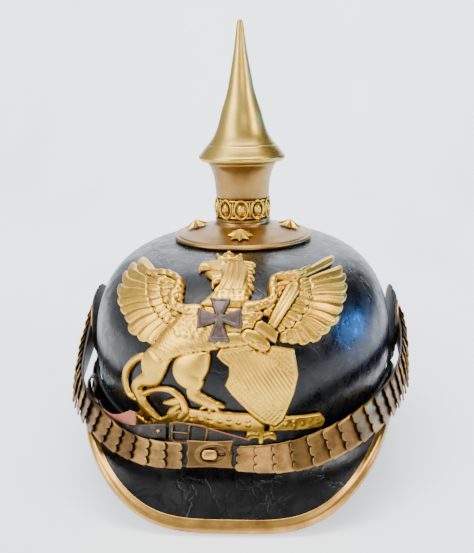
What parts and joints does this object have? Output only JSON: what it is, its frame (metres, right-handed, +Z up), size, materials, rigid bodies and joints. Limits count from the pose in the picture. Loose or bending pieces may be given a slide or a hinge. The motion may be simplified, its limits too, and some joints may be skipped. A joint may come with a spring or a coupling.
{
  "type": "spiked helmet",
  "caption": "Black leather spiked helmet with brass trim, griffin front plate with a cross, turned screw-on spike and a scaled chin strap worn up over the front visor.",
  "frame": {"origin": "on the floor under the spike's axis, in the middle of the helmet's length and width", "axes": "+Z up along the spike, -Y towards the front plate, +X towards the wearer's left"},
  "size_m": [0.2018, 0.2907, 0.2463],
  "materials": {
    "black_leather": "glossy lacquer with fine cracks",
    "strap_leather": "satin, worn",
    "aged_brass": "satin, darkened in the recesses",
    "bronze": "satin, pinkish",
    "spike_brass": "polished, greenish",
    "gilt": "bright gilt over relief",
    "grey_silver": "dull silver",
    "scale_bronze": "aged, brown",
    "black_cloth": "matt"
  },
  "bodies": {
    "helmet": {"skull_shell": "black_leather", "front_visor": "black_leather", "rear_visor": "black_leather", "visor_trim": "aged_brass", "rear_spine": "aged_brass", "spike_base": "bronze", "star_stud_front": "gilt", "star_stud_right": "gilt", "star_stud_rear": "gilt", "star_stud_left": "gilt", "pearl_ring": "gilt", "spike_neck": "bronze", "griffin_plate": "gilt", "reserve_cross": "grey_silver", "cockade_left": "black_cloth", "cockade_right": "black_cloth", "rosette_left": "aged_brass", "rosette_right": "aged_brass", "strap_left": "strap_leather", "strap_right": "strap_leather", "scales_left_01": "scale_bronze", "scales_left_02": "scale_bronze", "scales_left_03": "scale_bronze", "scales_left_04": "scale_bronze", "scales_left_05": "scale_bronze", "scales_left_06": "scale_bronze", "scales_left_07": "scale_bronze", "scales_left_08": "scale_bronze", "scales_left_09": "scale_bronze", "scales_left_10": "scale_bronze", "scales_left_11": "scale_bronze", "scales_right_01": "scale_bronze", "scales_right_02": "scale_bronze", "scales_right_03": "scale_bronze", "scales_right_04": "scale_bronze", "scales_right_05": "scale_bronze", "scales_right_06": "scale_bronze", "scales_right_07": "scale_bronze", "scales_right_08": "scale_bronze", "scales_right_09": "scale_bronze", "scales_right_10": "scale_bronze", "clasp_plate": "scale_bronze", "clasp_knob": "aged_brass", "strap_tail": "strap_leather", "buckle_frame": "aged_brass"},
    "spike": {"spike": "spike_brass"}
  },
  "joints": [
    {"name": "spike_turn", "type": "hinge", "parent": "helmet", "child": "spike", "pos_m": [0, 0, 0.157], "axis": [0, 0, 1], "continuous": true}
  ]
}
